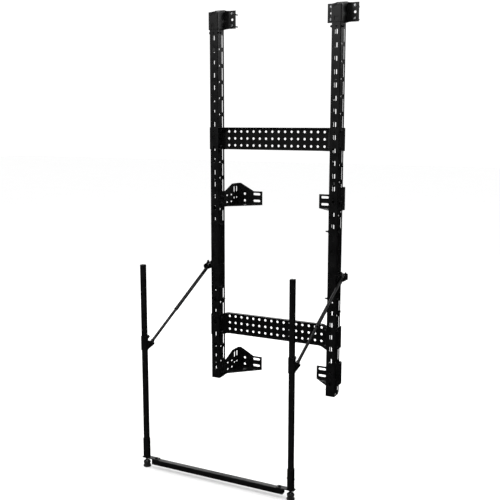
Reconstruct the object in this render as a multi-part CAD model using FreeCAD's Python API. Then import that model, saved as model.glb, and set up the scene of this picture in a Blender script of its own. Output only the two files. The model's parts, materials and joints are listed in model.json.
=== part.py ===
import FreeCAD, Part
import math
import os

# Wall-braced perforated rack frame with a strutted front stand.
# Two slotted channel uprights are joined by two perforated cross panels, held off the wall
# by four arms and two top brackets. A stand of two square legs and a base bar stands in
# front. Two telescoping struts swing on the outer sides of the uprights and end in collars
# that slide on the legs.
#
# Millimetres. X to the right, Y towards the wall, Z up. The origin lies on the wall face, in
# the middle of the four slots of the two upper wall arms.

V = FreeCAD.Vector
X_AXIS = V(1, 0, 0)
Y_AXIS = V(0, 1, 0)
Z_AXIS = V(0, 0, 1)

# ---- overall frame ----
upright_spacing = 749.5        # between the centre lines of the two uprights
upright_front_y = -264.0       # front face of the uprights
upright_top_z = 1076.5
upright_bottom_z = -1096.5
seam_z = -386.0                # joint between the upper and lower length of an upright
seam_gap = 1.0
floor_z = -1410.5

# ---- uprights, open-back channels ----
upright_width = 54.5
upright_depth = 75.0
upright_wall = 2.5
upright_bend_r = 2.5           # inside radius of the two front bends
front_slot_width = 17.0
front_slot_height = 25.0
front_slot_corner = 2.5
front_slot_pitch = 70.0
front_slot_top_z = 934.7       # centre of the highest front slot
marker_hole_r = 4.5            # small round hole above every fourth front slot
marker_hole_rise = 29.0
marker_hole_every = 4
marker_hole_first = 0          # counted in front slots from the top
side_hole_r = 5.5
side_hole_inset = 21.0         # behind the front face
side_pitch = 92.5
side_slot_width = 11.0
side_slot_length = 72.0
side_slot_inset = 55.0
lower_side_shift = -12.5       # the lower length's side holes lie this much off the upper grid
edge_margin = 2.0              # least metal between an opening and the end of its channel
tail_chamfer = 14.0            # cut corner at the lower back end of an upright

# ---- splice channels inside the uprights ----
splice_top_z = -126.0
splice_bottom_z = -541.0
splice_wall = 2.5
splice_depth = 58.0
splice_fit = 0.15
splice_upper_step = 6          # side hole steps below the upper panel that take a bolt
splice_lower_step = 10
spare_bolt_step = 11           # step of the bolt at the foot of a long side slot
splice_bolt_spare = 13.0       # thread left beyond a splice bolt's nut
spare_bolt_spare = 4.0

# ---- cross panels ----
sheet_gap = 0.25               # between a saddle and the upright it wraps
panel_wall = 2.5
panel_face_y = -217.5          # front face of the perforated web
panel_height = 127.0
panel_upper_z = 363.5
panel_step = 12                # side hole steps from the upper to the lower panel
panel_columns = 16
panel_rows = 3
panel_hole_pitch = 40.0
panel_hole_r = 7.0
panel_sweep_r = 36.0           # wide bend from the web into a saddle
panel_lip = 20.0               # depth of the lips along the web's top and bottom edges
lower_web_rise = 11.0          # the lower panel's web sits this much above its saddles
saddle_spacer_length = 5.0     # under the inner washer, where the sweep starts to turn
panel_bolt_spare = 3.0
saddle_tail = 15.0             # a saddle's outer wall runs on this far behind the upright
bend_r = 2.5

# ---- top brackets ----
top_bracket_z = 1043.5         # middle of the ears
top_bracket_wall = 3.0
top_bracket_gap = 0.3
top_bracket_ear_y = -159.5     # back face of the ears
top_bracket_ear_half = 51.0
top_bracket_half_width = 90.0
top_bracket_front_drop = 8.0   # the front's edges lie lower than the ears' edges
top_bracket_bend_r = 26.0
ear_hole_x = 68.0
ear_hole_r = 7.0
ear_bolt_rise = 34.0
anchor_hole_r = 5.25           # the wall bolts have slack in the ears
front_window = 22.0
front_window_z = 1002.5
crescent_r = 20.0
crescent_flat_z = 1060.0
crescent_sink = 7.0            # centre of the crescent's arc below its flat edge
cap_depth = 30.0
wall_bolt_length = 62.0
top_bolt_step = -6             # side hole step of the bolt through bracket and upright
top_bolt_spare = 3.0

# ---- wall arms ----
arm_wall = 3.0
arm_gap = 0.2
arm_step_z = 1050.0            # from the upper pair to the lower pair
arm_front_inset = 18.0         # the arm starts this far behind the upright's front face
arm_bolt_inset = 36.5
arm_bolt_spare = 4.0
arm_row_half = 20.75
arm_bottom = -46.0
arm_top = 87.0
arm_start_top = 50.0
arm_pad_top = 38.5
arm_rise_start_y = -172.0
arm_rise_end_y = -85.0
arm_bend_r = 14.0
arm_pad_end_x = 187.0
arm_pad_start_x = 246.0
arm_peak_end_x = 335.0
arm_hole_x = 307.0
arm_hole_r = 7.5
arm_slot_x = 224.0
arm_slot_length = 47.0
arm_slot_width = 14.0
arm_short_slot_y = (-150.0, -96.0)
arm_tall_slot_y = (-60.0, -27.0)
arm_short_slot = (19.0, 9.0)
arm_tall_slot = (14.0, 36.0)
arm_tall_slot_rise = 52.0
arm_middle_slot = (15.0, 11.0)
gusset_front_y = -162.0        # the gusset under an arm runs from here to the pad's end
gusset_relief = 8.0            # cut corner of the gusset inside the bend

# ---- struts ----
strut_reach = 56.25            # from an upright's centre line out to its strut and leg
strut_top_y = -227.5
strut_top_z = -394.5
strut_foot_y = -877.5
strut_foot_z = -726.5
strut_tube_r = 10.0
strut_tube_end = 440.0         # from the upper pivot
strut_rod_r = 8.0
strut_rod_bore_r = 6.0
strut_overlap = 150.0          # length of the rod inside the tube
sliding_fit = 0.05
eye_r = 12.0
eye_half = 9.8
ear_inner_half = 10.6          # half of the gap between two pivot ears
ear_wall = 3.0
eye_neck = 26.0                # from a pivot to the end of its tube or rod
plug_length = 24.0

# ---- strut brackets on the uprights ----
hanger_gap = 0.3
hanger_wall = 3.0
hanger_front_y = -280.0
hanger_back_y = -194.0
hanger_bottom_z = -418.0
hanger_shoulder_z = -384.0
hanger_peak_z = -371.0
hanger_peak_half = 5.0
hanger_tab = 16.0              # shoulders on each side of the peak
hanger_screw_rise = 17.5

# ---- stand ----
leg_y = -934.5
leg_side = 25.0
leg_wall = 2.0
leg_corner_r = 2.5
leg_top_z = -286.5
leg_bottom_z = -1351.5
collar_side = 31.0
collar_fit = 0.3
collar_top_z = -672.5
collar_bottom_z = -750.5
collar_ear_back_y = -863.0
knob_z = -684.0
knob_boss_r = 7.0
knob_boss_length = 7.0
sleeve_top_z = -1247.5
sleeve_bottom_z = -1355.5
sleeve_fit = 0.2
base_plate_thickness = 4.0
base_plate_inner = 78.0        # from a leg's centre towards the middle
base_plate_outer = 22.0
bar_end_inset = 43.0           # from a leg's centre to the end of the base bar
bar_side = 30.0
bar_wall = 2.0
bar_corner_r = 3.0
end_cap_thickness = 3.0
bar_bolt_inset = 61.0
leg_bolt_z = -1300.0

# ---- levelling feet ----
pad_height = 33.0
pad_base_r = 20.5
pad_waist_r = 16.5
pad_rim_r = 18.5
pad_cup_r = 12.0
pad_cup_depth = 13.0
stud_r = 5.0
stud_top_z = -1335.0

# ---- fasteners ----
m8_r = 4.0
m8_across = 13.0
m8_head = 5.3
m8_nut = 6.5
m8_hole_r = 4.5
m8_washer_r = 8.0
m8_washer = 1.6
m10_across = 16.0
m10_nut = 8.0
m6_r = 3.0
m6_across = 10.0
m6_head = 4.0
m6_hole_r = 3.3
pivot_fit = 0.05
thread_fit = 0.05

parts = {}


# ---------------------------------------------------------------- shape helpers
def box(x0, x1, y0, y1, z0, z1):
    low = V(min(x0, x1), min(y0, y1), min(z0, z1))
    return Part.makeBox(abs(x1 - x0), abs(y1 - y0), abs(z1 - z0), low)


def rod(radius, start, direction, length):
    return Part.makeCylinder(radius, length, start, direction)


def hexagon(across, start, direction, length):
    """A hexagonal prism standing on start."""
    corner = across / math.sqrt(3)
    angles = [math.radians(30 + 60 * k) for k in range(7)]
    points = [V(corner * math.cos(a), corner * math.sin(a), 0) for a in angles]
    prism = Part.Face(Part.makePolygon(points)).extrude(V(0, 0, length))
    turn = FreeCAD.Rotation(Z_AXIS, direction)
    prism.Placement = FreeCAD.Placement(start, turn)
    return prism


def bolt(seat, direction, length, radius=m8_r, across=m8_across, head=m8_head):
    """Hex bolt whose head rests on seat and whose shank points along direction."""
    cap = hexagon(across, seat, direction * -1, head)
    dome = Part.makeCone(across * 0.46, across * 0.3, 0.8, seat + direction * -head, direction * -1)
    return cap.fuse([dome, rod(radius, seat, direction, length)]).removeSplitter()


def nut(seat, direction, radius=m8_r, across=m8_across, height=m8_nut):
    """Hex nut standing on seat, on the thread of a bolt of the given radius."""
    body = hexagon(across, seat, direction, height)
    return body.cut(rod(radius + thread_fit, seat - direction, direction, height + 2))


def washer(seat, direction, radius=m8_r):
    ring = rod(m8_washer_r, seat, direction, m8_washer)
    return ring.cut(rod(radius + thread_fit, seat - direction, direction, m8_washer + 2))


def bent_strip(points, radii, wall):
    """Plan view of a bent sheet: a centre line with an arc at each inner point."""
    half = wall / 2
    left = []
    right = []
    start = points[0]
    for index in range(1, len(points)):
        ahead = (points[index] - points[index - 1]).normalize()
        normal = Z_AXIS.cross(ahead)
        if index == len(points) - 1:
            stop = points[index]
        else:
            after = (points[index + 1] - points[index]).normalize()
            turn = ahead.getAngle(after)
            side = 1 if ahead.cross(after).z > 0 else -1
            radius = radii[index - 1]
            reach = radius * math.tan(turn / 2)
            stop = points[index] - ahead * reach
        left.append(Part.LineSegment(start + normal * half, stop + normal * half).toShape())
        right.append(Part.LineSegment(start - normal * half, stop - normal * half).toShape())
        if index == len(points) - 1:
            break
        centre = stop + normal * (side * radius)
        leave = points[index] + after * reach
        middle_dir = (points[index] - centre).normalize()
        normal_after = Z_AXIS.cross(after)
        for edges, offset in ((left, half), (right, -half)):
            bow = radius - side * offset
            arc = Part.Arc(stop + normal * offset, centre + middle_dir * bow, leave + normal_after * offset)
            edges.append(arc.toShape())
        start = leave
    first_normal = Z_AXIS.cross((points[1] - points[0]).normalize())
    last_normal = Z_AXIS.cross((points[-1] - points[-2]).normalize())
    cap_start = Part.LineSegment(points[0] - first_normal * half, points[0] + first_normal * half)
    cap_end = Part.LineSegment(points[-1] + last_normal * half, points[-1] - last_normal * half)
    outline = left + [cap_end.toShape()] + right + [cap_start.toShape()]
    return Part.Face(Part.Wire(Part.__sortEdges__(outline)))


def rounded_rectangle(width, height, corner):
    """A face in the XY plane, centred on the origin."""
    cx = width / 2 - corner
    cy = height / 2 - corner
    edges = []
    centres = ((cx, cy), (-cx, cy), (-cx, -cy), (cx, -cy))
    arcs = []
    for quarter, (px, py) in enumerate(centres):
        angles = [math.radians(90 * quarter + step) for step in (0, 45, 90)]
        arcs.append([V(px + corner * math.cos(a), py + corner * math.sin(a), 0) for a in angles])
    for index, arc in enumerate(arcs):
        edges.append(Part.Arc(*arc).toShape())
        following = arcs[(index + 1) % 4][0]
        if (following - arc[2]).Length > 1e-6:
            edges.append(Part.LineSegment(arc[2], following).toShape())
    return Part.Face(Part.Wire(edges))


def opening_y(x, z, width, height, corner, y0, y1):
    """A cutter along Y: width runs along X and height along Z."""
    cutter = rounded_rectangle(width, height, corner).extrude(V(0, 0, y1 - y0))
    cutter.Placement = FreeCAD.Placement(V(x, y0, z), FreeCAD.Rotation(X_AXIS, -90))
    return cutter


def opening_x(y, z, width, height, corner, x0, x1):
    """A cutter along X: width runs along Y and height along Z."""
    cutter = rounded_rectangle(height, width, corner).extrude(V(0, 0, x1 - x0))
    cutter.Placement = FreeCAD.Placement(V(x0, y, z), FreeCAD.Rotation(Y_AXIS, 90))
    return cutter


def square_tube(side, wall, corner, z0, z1, x, y):
    outer = rounded_rectangle(side, side, corner).extrude(V(0, 0, z1 - z0))
    inner = rounded_rectangle(side - 2 * wall, side - 2 * wall, max(corner - wall, 0.5))
    tube = outer.cut(inner.extrude(V(0, 0, z1 - z0)))
    tube.translate(V(x, y, z0))
    return tube


def prism_x(outline, x0, x1):
    """A polygon of (y, z) points, extruded along X."""
    points = [V(x0, y, z) for y, z in outline + outline[:1]]
    return Part.Face(Part.makePolygon(points)).extrude(V(x1 - x0, 0, 0))


def prism_y(outline, y0, y1):
    """A polygon of (x, z) points, extruded along Y."""
    points = [V(x, y0, z) for x, z in outline + outline[:1]]
    return Part.Face(Part.makePolygon(points)).extrude(V(0, y1 - y0, 0))


def cut_all(shape, cutters):
    return shape.cut(Part.makeCompound(cutters))


def mirrored(shape):
    """The same piece on the left side of the frame."""
    return shape.mirror(V(0, 0, 0), X_AXIS)


def keep(name, *solids):
    pieces = [solid for shape in solids for solid in shape.Solids]
    parts[name] = pieces[0] if len(pieces) == 1 else Part.makeCompound(pieces)


# ---------------------------------------------------------------- derived places
upright_x = upright_spacing / 2
strut_x = upright_x + strut_reach
leg_x = strut_x
base_plate_inner_x = leg_x - base_plate_inner
base_plate_outer_x = leg_x + base_plate_outer
bar_half_length = leg_x - bar_end_inset
bar_bolt_x = leg_x - bar_bolt_inset
inner_x = upright_x - upright_width / 2
outer_x = upright_x + upright_width / 2
upright_back_y = upright_front_y + upright_depth
side_hole_y = upright_front_y + side_hole_inset
side_slot_y = upright_front_y + side_slot_inset
side_hole_half = side_pitch / 2
saddle_lower_z = panel_upper_z - panel_step * side_pitch + lower_side_shift
panel_lower_z = saddle_lower_z + lower_web_rise
strut_dir = V(0, strut_foot_y - strut_top_y, strut_foot_z - strut_top_z)
strut_length = strut_dir.Length
strut_dir.normalize()
strut_top = V(strut_x, strut_top_y, strut_top_z)
strut_foot = V(strut_x, strut_foot_y, strut_foot_z)
bar_top_z = sleeve_bottom_z - base_plate_thickness
base_plate_bottom_z = bar_top_z


def front_slot_levels():
    level = front_slot_top_z
    levels = []
    while level > upright_bottom_z + front_slot_height:
        levels.append(level)
        level -= front_slot_pitch
    return levels


def marker_levels():
    return [z + marker_hole_rise for z in front_slot_levels()[marker_hole_first::marker_hole_every]]


def side_hole_z(step):
    """Height of a side hole, counted in steps down from the top of the upper panel."""
    z = panel_upper_z + side_hole_half - step * side_pitch
    return z if z > seam_z else z + lower_side_shift


def side_hole_steps():
    above = int((upright_top_z - panel_upper_z) / side_pitch)
    below = int((panel_upper_z - upright_bottom_z) / side_pitch)
    return range(1 - above, below + 2)


def inside(z, half, low, high):
    return low + edge_margin + half < z < high - edge_margin - half


# ---------------------------------------------------------------- uprights
def upright(low, high):
    """One length of the right upright, with its front slots and side openings."""
    half = upright_width / 2 - upright_wall / 2
    front = upright_front_y + upright_wall / 2
    line = [V(-half, upright_back_y, 0), V(-half, front, 0), V(half, front, 0), V(half, upright_back_y, 0)]
    radius = upright_bend_r + upright_wall / 2
    shape = bent_strip(line, [radius, radius], upright_wall).extrude(V(0, 0, high - low))
    shape.translate(V(upright_x, 0, low))
    y0 = upright_front_y - 1
    y1 = upright_front_y + upright_wall + 1
    cutters = []
    for z in front_slot_levels():
        if low + edge_margin + front_slot_height / 2 < z < high:
            cutters.append(opening_y(upright_x, z, front_slot_width, front_slot_height,
                                     front_slot_corner, y0, y1))
    for z in marker_levels():
        if inside(z, marker_hole_r, low, high):
            cutters.append(rod(marker_hole_r, V(upright_x, y0, z), Y_AXIS, y1 - y0))
    x0 = inner_x - 1
    x1 = outer_x + 1
    for step in side_hole_steps():
        z = side_hole_z(step)
        if inside(z, side_hole_r, low, high):
            cutters.append(rod(side_hole_r, V(x0, side_hole_y, z), X_AXIS, x1 - x0))
        slot_z = z - side_hole_half
        if inside(slot_z, side_slot_length / 2, low, high):
            cutters.append(opening_x(side_slot_y, slot_z, side_slot_width, side_slot_length,
                                     side_slot_width / 2, x0, x1))
    for level in (0, -arm_step_z):
        for row in (-arm_row_half, arm_row_half):
            start = V(x0, upright_front_y + arm_bolt_inset, level + row)
            cutters.append(rod(m8_hole_r, start, X_AXIS, x1 - x0))
    for rise in (-hanger_screw_rise, hanger_screw_rise):
        start = V(outer_x - upright_wall - 1, strut_top_y, strut_top_z + rise)
        cutters.append(rod(m6_hole_r, start, X_AXIS, upright_wall + 2))
    return cut_all(shape, cutters)


def make_uprights():
    upper = upright(seam_z + seam_gap / 2, upright_top_z)
    lower = upright(upright_bottom_z, seam_z - seam_gap / 2)
    corner = [(upright_back_y - tail_chamfer, upright_bottom_z),
              (upright_back_y, upright_bottom_z + tail_chamfer),
              (upright_back_y + 1, upright_bottom_z - 1)]
    lower = lower.cut(prism_x(corner, inner_x - 1, outer_x + 1))
    keep("upright_right_upper", upper)
    keep("upright_right_lower", lower)
    keep("upright_left_upper", mirrored(upper))
    keep("upright_left_lower", mirrored(lower))


def through_bolt(y, z, reach, inner_reach, spare):
    """Bolt right through an upright: head outside, washers on both sides, nut inside."""
    outer = V(outer_x + reach, y, z)
    inner = V(inner_x - inner_reach, y, z)
    length = upright_width + reach + inner_reach + 2 * m8_washer + m8_nut + spare
    screw = bolt(outer + X_AXIS * m8_washer, X_AXIS * -1, length)
    rings = [washer(outer, X_AXIS), washer(inner, X_AXIS * -1)]
    rings.append(nut(inner - X_AXIS * m8_washer, X_AXIS * -1))
    return screw, rings


def spare_bolt_z():
    """The foot of the long side slot below the given step."""
    middle = side_hole_z(spare_bolt_step - 1) - side_hole_half
    return middle - side_slot_length / 2 + side_slot_width / 2


def make_splices():
    """A channel inside each upright, held by two bolts right through the pair."""
    half = upright_width / 2 - upright_wall - splice_fit - splice_wall / 2
    front = upright_front_y + upright_wall + splice_fit + splice_wall / 2
    back = front + splice_depth
    radius = upright_bend_r + splice_wall / 2
    line = [V(-half, back, 0), V(-half, front, 0), V(half, front, 0), V(half, back, 0)]
    shape = bent_strip(line, [radius, radius], splice_wall)
    shape = shape.extrude(V(0, 0, splice_top_z - splice_bottom_z))
    shape.translate(V(upright_x, 0, splice_bottom_z))
    cutters = []
    bolts = []
    nuts = []
    for step in (splice_upper_step, splice_lower_step):
        z = side_hole_z(step)
        cutters.append(rod(m8_hole_r, V(inner_x, side_hole_y, z), X_AXIS, upright_width))
        screw, rings = through_bolt(side_hole_y, z, 0, 0, splice_bolt_spare)
        bolts.append(screw)
        nuts += rings
    screw, rings = through_bolt(side_slot_y, spare_bolt_z(), 0, 0, spare_bolt_spare)
    bolts.append(screw)
    nuts += rings
    hanger_hole = V(inner_x, strut_top_y, strut_top_z)
    cutters += [rod(m8_nut + 2, hanger_hole + Z_AXIS * rise, X_AXIS, upright_width)
                for rise in (-hanger_screw_rise, hanger_screw_rise)]
    shape = cut_all(shape, cutters)
    keep("splice_right", shape)
    keep("splice_left", mirrored(shape))
    keep("splice_bolts", *bolts, *[mirrored(b) for b in bolts])
    keep("splice_nuts", *nuts, *[mirrored(n) for n in nuts])


# ---------------------------------------------------------------- cross panels
def saddle_holes(low, high, y0, y1):
    """Openings in a saddle's front that match those of the upright behind it."""
    cutters = []
    for z in front_slot_levels():
        if low < z + front_slot_height / 2 and z - front_slot_height / 2 < high:
            cutters.append(opening_y(upright_x, z, front_slot_width, front_slot_height,
                                     front_slot_corner, y0, y1))
    for z in marker_levels():
        if low + edge_margin < z < high - edge_margin:
            cutters.append(rod(marker_hole_r, V(upright_x, y0, z), Y_AXIS, y1 - y0))
    return cutters


def panel_outline(level, saddle_level, edge, shift):
    """Edge line of a panel seen from the front: the web, then a slope to each saddle."""
    sweep_start = inner_x - sheet_gap - panel_wall - panel_sweep_r
    half = panel_height / 2
    web = level + edge * half + shift
    end = saddle_level + edge * half + shift
    far = outer_x + panel_sweep_r
    right = [(sweep_start, web), (inner_x, end), (far, end)]
    return [(-x, z) for x, z in reversed(right)] + right


def panel_lips(level, saddle_level):
    """Lips along the top and bottom edges that widen to fill the sweeps."""
    web_y = panel_face_y + panel_wall / 2
    side_x = inner_x - sheet_gap - panel_wall / 2
    centre = V(side_x - panel_sweep_r, web_y - panel_sweep_r, 0)
    turns = [math.radians(22.5 * k) for k in range(5)]
    right = [centre + V(math.cos(a), math.sin(a), 0) * panel_sweep_r for a in turns]
    right.insert(0, V(side_x, upright_front_y, 0))
    left = [V(-point.x, point.y, 0) for point in reversed(right)]
    lip_y = panel_face_y - panel_lip
    front = [V(-right[-1].x + panel_lip, lip_y, 0), V(right[-1].x - panel_lip, lip_y, 0)]
    loop = right + left + front + right[:1]
    plan = Part.Face(Part.makePolygon(loop)).extrude(V(0, 0, 2 * panel_height))
    plan.translate(V(0, 0, level - panel_height))
    lips = []
    for edge in (-1, 1):
        rim = panel_outline(level, saddle_level, edge, 0)
        inner_rim = panel_outline(level, saddle_level, edge, -edge * panel_wall)
        layer = prism_y(rim + list(reversed(inner_rim)), upright_front_y - 1, web_y + 1)
        lips.append(plan.common(layer))
    return lips


def panel(level, saddle_level):
    """A perforated web whose ends sweep forward and wrap both uprights."""
    offset = sheet_gap + panel_wall / 2
    web_y = panel_face_y + panel_wall / 2
    front = upright_front_y - offset
    tail = upright_back_y + saddle_tail
    right = [V(inner_x - offset, web_y, 0), V(inner_x - offset, front, 0),
             V(outer_x + offset, front, 0), V(outer_x + offset, tail, 0)]
    left = [V(-point.x, point.y, 0) for point in reversed(right)]
    tight = bend_r + panel_wall / 2
    radii = [tight, tight, panel_sweep_r, panel_sweep_r, tight, tight]
    low = saddle_level - panel_height / 2
    high = saddle_level + panel_height / 2
    shape = bent_strip(left + right, radii, panel_wall).extrude(V(0, 0, 2 * panel_height))
    shape.translate(V(0, 0, level - panel_height))
    for edge in (-1, 1):
        rim = panel_outline(level, saddle_level, edge, 0)
        beyond = level + edge * 2 * panel_height
        waste = rim + [(rim[-1][0], beyond), (rim[0][0], beyond)]
        shape = shape.cut(prism_y(waste, front - panel_wall, tail + 1))
    shape = shape.fuse(panel_lips(level, saddle_level)).removeSplitter()
    cutters = []
    for column in range(panel_columns):
        x = (column - (panel_columns - 1) / 2) * panel_hole_pitch
        for row in range(panel_rows):
            z = level + (row - (panel_rows - 1) / 2) * panel_hole_pitch
            start = V(x, panel_face_y - 1, z)
            cutters.append(rod(panel_hole_r, start, Y_AXIS, panel_wall + 2))
    matching = saddle_holes(low, high, front - panel_wall, upright_front_y)
    cutters += matching + [mirrored(c) for c in matching]
    for rise in (-side_hole_half, side_hole_half):
        start = V(-outer_x - offset - panel_wall, side_hole_y, saddle_level + rise)
        cutters.append(rod(m8_hole_r, start, X_AXIS, 2 * (outer_x + offset + panel_wall)))
    return cut_all(shape, cutters)


def saddle_spacer(z, sheet):
    """Round spacer whose outer end is shaped to the sweep, under a saddle bolt's inner washer."""
    face_x = inner_x - sheet_gap - panel_wall
    blank = rod(m8_washer_r, V(face_x - saddle_spacer_length, side_hole_y, z), X_AXIS,
                saddle_spacer_length + panel_wall)
    hole = rod(m8_r + thread_fit, V(face_x - 2 * saddle_spacer_length, side_hole_y, z), X_AXIS,
               4 * saddle_spacer_length)
    beyond = box(face_x, outer_x, upright_front_y, upright_back_y, z - panel_height, z + panel_height)
    return blank.cut([hole, sheet, beyond])


def make_panels():
    screws = []
    rings = []
    places = (("upper", panel_upper_z, panel_upper_z), ("lower", panel_lower_z, saddle_lower_z))
    for name, level, saddle_level in places:
        sheet = panel(level, saddle_level)
        keep("cross_panel_" + name, sheet)
        wrap = sheet_gap + panel_wall
        for rise in (-side_hole_half, side_hole_half):
            z = saddle_level + rise
            screw, ring = through_bolt(side_hole_y, z, wrap, wrap + saddle_spacer_length, panel_bolt_spare)
            ring.append(saddle_spacer(z, sheet))
            screws += [screw, mirrored(screw)]
            rings += ring + [mirrored(piece) for piece in ring]
    keep("panel_bolts", *screws)
    keep("panel_nuts", *rings)


# ---------------------------------------------------------------- top brackets
def top_bracket():
    half = upright_width / 2 + top_bracket_gap + top_bracket_wall / 2
    front = upright_front_y - top_bracket_gap - top_bracket_wall / 2
    ear_y = top_bracket_ear_y - top_bracket_wall / 2
    wide = top_bracket_bend_r + top_bracket_wall / 2
    tight = bend_r + top_bracket_wall / 2
    line = [V(-top_bracket_half_width, ear_y, 0), V(-half, ear_y, 0), V(-half, front, 0),
            V(half, front, 0), V(half, ear_y, 0), V(top_bracket_half_width, ear_y, 0)]
    high = top_bracket_z + top_bracket_ear_half
    low = top_bracket_z - top_bracket_ear_half - top_bracket_front_drop
    shape = bent_strip(line, [wide, tight, tight, wide], top_bracket_wall)
    shape = shape.extrude(V(0, 0, high - low))
    shape.translate(V(0, 0, low))
    cap_front = top_bracket_ear_y - cap_depth
    front_high = high - 2 * top_bracket_front_drop
    ear_low = low + top_bracket_front_drop
    before = front - top_bracket_wall
    above = [(before, front_high), (front + top_bracket_wall, front_high), (cap_front, high),
             (cap_front, high + 1), (before, high + 1)]
    below = [(cap_front, low), (top_bracket_ear_y - top_bracket_wall, ear_low),
             (top_bracket_ear_y + 1, ear_low), (top_bracket_ear_y + 1, low - 1), (cap_front, low - 1)]
    span = top_bracket_half_width + 1
    shape = shape.cut(prism_x(above, -span, span)).cut(prism_x(below, -span, span))
    cap_half = half + top_bracket_wall / 2
    cap = box(-cap_half, cap_half, cap_front, top_bracket_ear_y - top_bracket_bend_r / 2,
              high - 1, high + top_bracket_wall - 1)
    shape = shape.fuse(cap).removeSplitter()
    arc = rod(crescent_r, V(0, before, crescent_flat_z - crescent_sink), Y_AXIS, 3 * top_bracket_wall)
    arc = arc.common(box(-crescent_r, crescent_r, before, before + 3 * top_bracket_wall,
                         crescent_flat_z, crescent_flat_z + crescent_r))
    window = opening_y(0, front_window_z, front_window, front_window, front_slot_corner,
                       before, before + 3 * top_bracket_wall)
    cutters = [arc, window]
    for x in (-ear_hole_x, ear_hole_x):
        cutters.append(rod(ear_hole_r, V(x, ear_y - 5, top_bracket_z), Y_AXIS, 10))
        for rise in (-ear_bolt_rise, ear_bolt_rise):
            cutters.append(rod(anchor_hole_r, V(x, ear_y - 5, top_bracket_z + rise), Y_AXIS, 10))
    cutters.append(rod(m8_hole_r, V(-span, side_hole_y, side_hole_z(top_bolt_step)), X_AXIS, 2 * span))
    shape = cut_all(shape, cutters)
    shape.translate(V(upright_x, 0, 0))
    return shape


def make_top_brackets():
    bracket = top_bracket()
    keep("top_bracket_right", bracket)
    keep("top_bracket_left", mirrored(bracket))
    wall_bolts = []
    for x in (upright_x - ear_hole_x, upright_x + ear_hole_x):
        for rise in (-ear_bolt_rise, ear_bolt_rise):
            seat = V(x, top_bracket_ear_y - top_bracket_wall, top_bracket_z + rise)
            wall_bolts.append(bolt(seat, Y_AXIS, wall_bolt_length + top_bracket_wall))
    keep("wall_bolts", *wall_bolts, *[mirrored(b) for b in wall_bolts])
    reach = top_bracket_gap + top_bracket_wall
    through, rings = through_bolt(side_hole_y, side_hole_z(top_bolt_step), reach, reach, top_bolt_spare)
    keep("top_bracket_bolts", through, mirrored(through))
    keep("top_bracket_nuts", *rings, *[mirrored(r) for r in rings])


# ---------------------------------------------------------------- wall arms
def wall_arm(level):
    """A plate inside the channel that runs back and turns into a slotted wall pad."""
    x = inner_x + upright_wall + arm_gap + arm_wall / 2
    pad_y = -arm_wall / 2
    start_y = upright_front_y + arm_front_inset
    line = [V(x, start_y, 0), V(x, pad_y, 0), V(arm_pad_end_x, pad_y, 0)]
    shape = bent_strip(line, [arm_bend_r + arm_wall / 2], arm_wall)
    shape = shape.extrude(V(0, 0, arm_top - arm_bottom))
    shape.translate(V(0, 0, arm_bottom))
    over = arm_top + 1
    rise = [(start_y - 1, arm_start_top), (arm_rise_start_y, arm_start_top),
            (arm_rise_end_y, arm_top), (arm_rise_end_y, over), (start_y - 1, over)]
    fall = [(arm_peak_end_x, over), (arm_peak_end_x, arm_top), (arm_pad_start_x, arm_pad_top),
            (arm_pad_end_x - 1, arm_pad_top), (arm_pad_end_x - 1, over)]
    shape = shape.cut(prism_x(rise, x - arm_wall, x + arm_wall))
    shape = shape.cut(prism_y(fall, pad_y - arm_wall, pad_y + arm_wall))
    x0 = x - arm_wall
    x1 = x + arm_wall
    cutters = []
    for z in (-arm_row_half, arm_row_half):
        bolt_y = upright_front_y + arm_bolt_inset
        cutters.append(rod(m8_hole_r, V(x0, bolt_y, z), X_AXIS, x1 - x0))
        for y in arm_short_slot_y:
            length, width = arm_short_slot
            cutters.append(opening_x(y, z, length, width, width / 2, x0, x1))
        cutters.append(rod(arm_hole_r, V(arm_hole_x, -2 * arm_wall, z), Y_AXIS, 3 * arm_wall))
        cutters.append(opening_y(arm_slot_x, z, arm_slot_length, arm_slot_width,
                                 arm_slot_width / 2, -2 * arm_wall, arm_wall))
    for y in arm_tall_slot_y:
        width, height = arm_tall_slot
        cutters.append(opening_x(y, arm_tall_slot_rise, width, height, width / 2, x0, x1))
        width, height = arm_middle_slot
        cutters.append(opening_x(y, 0, width, height, height / 2, x0, x1))
    shape = cut_all(shape, cutters).fuse(arm_gusset(x, pad_y)).removeSplitter()
    shape.translate(V(0, 0, level))
    return shape


def arm_gusset(side_x, pad_y):
    """Triangular plate that closes the arm's corner along its bottom edge."""
    points = [V(side_x, gusset_front_y, arm_bottom), V(side_x, pad_y - gusset_relief, arm_bottom),
              V(side_x - gusset_relief, pad_y, arm_bottom), V(arm_pad_end_x, pad_y, arm_bottom)]
    return Part.Face(Part.makePolygon(points + points[:1])).extrude(V(0, 0, arm_wall))


def make_wall_arms():
    bolts = []
    rings = []
    for name, level in (("upper", 0.0), ("lower", -arm_step_z)):
        arm = wall_arm(level)
        keep("wall_arm_" + name + "_right", arm)
        keep("wall_arm_" + name + "_left", mirrored(arm))
        y = upright_front_y + arm_bolt_inset
        for row in (-arm_row_half, arm_row_half):
            screw, pieces = through_bolt(y, level + row, 0, 0, arm_bolt_spare)
            bolts.append(screw)
            rings += pieces
    keep("arm_bolts", *bolts, *[mirrored(b) for b in bolts])
    keep("arm_nuts", *rings, *[mirrored(r) for r in rings])


# ---------------------------------------------------------------- struts
def hanger_plate(front_y, back_y, x0, x1):
    """A pivot plate with a small peak over the pivot."""
    outline = [(front_y, hanger_bottom_z + 12), (front_y + 12, hanger_bottom_z),
               (back_y, hanger_bottom_z), (back_y, hanger_shoulder_z),
               (strut_top_y + hanger_tab, hanger_shoulder_z),
               (strut_top_y + hanger_peak_half, hanger_peak_z),
               (strut_top_y - hanger_peak_half, hanger_peak_z),
               (strut_top_y - hanger_tab, hanger_shoulder_z), (front_y, hanger_shoulder_z - 8)]
    return prism_x(outline, x0, x1)


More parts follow.
